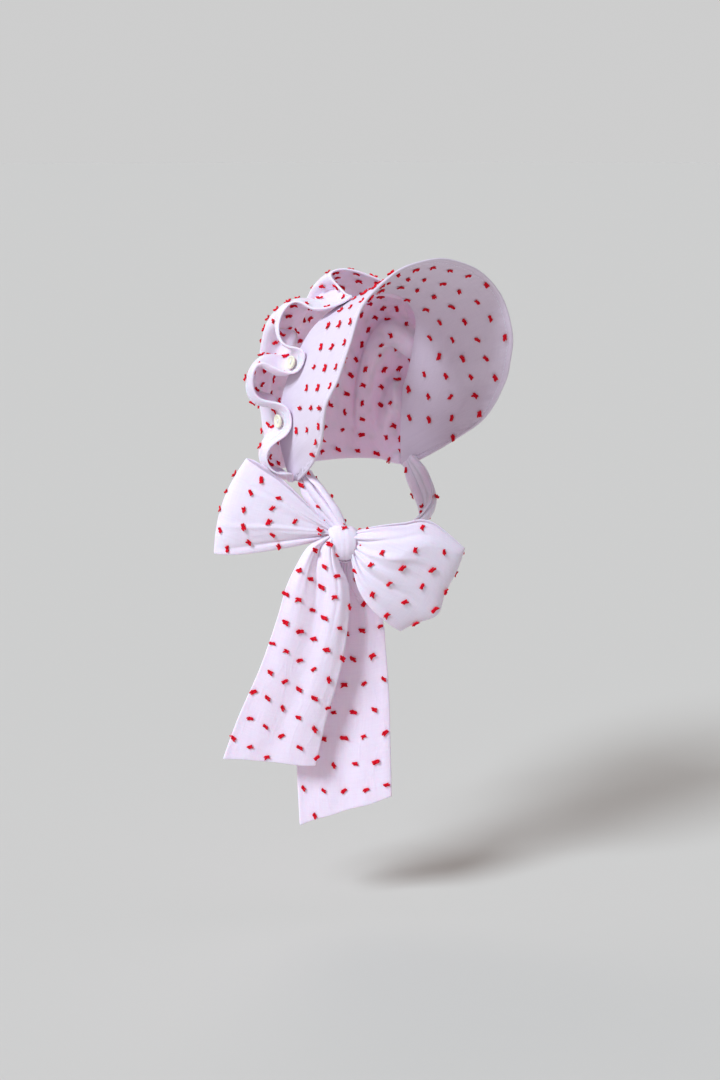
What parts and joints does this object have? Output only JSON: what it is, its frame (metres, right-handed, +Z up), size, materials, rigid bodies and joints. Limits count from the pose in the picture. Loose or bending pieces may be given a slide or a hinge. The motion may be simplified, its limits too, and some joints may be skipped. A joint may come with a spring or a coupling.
{
  "type": "baby bonnet",
  "caption": "Baby's sun bonnet with a flared brim, a fluted crown buttoned onto it, and wide ties knotted under the chin in a bow.",
  "frame": {"origin": "inside the top of the crown, where the bonnet sits on the head", "axes": "+Z up, -Y the way the face looks, +X the wearer's left"},
  "size_m": [0.2031, 0.1503, 0.4235],
  "materials": {
    "dotted_cotton": "pale woven cotton with tufted red clip dots",
    "button": "cream shirt button, softly polished"
  },
  "bodies": {
    "root": {"brim": "dotted_cotton", "crown": "dotted_cotton", "button_1": "button", "button_2": "button", "button_3": "button", "button_4": "button", "strap_right": "dotted_cotton", "strap_left": "dotted_cotton", "bow_knot": "dotted_cotton", "bow_loop_rear": "dotted_cotton", "bow_loop_front": "dotted_cotton", "bow_tail_rear": "dotted_cotton", "bow_tail_front": "dotted_cotton"}
  },
  "joints": []
}
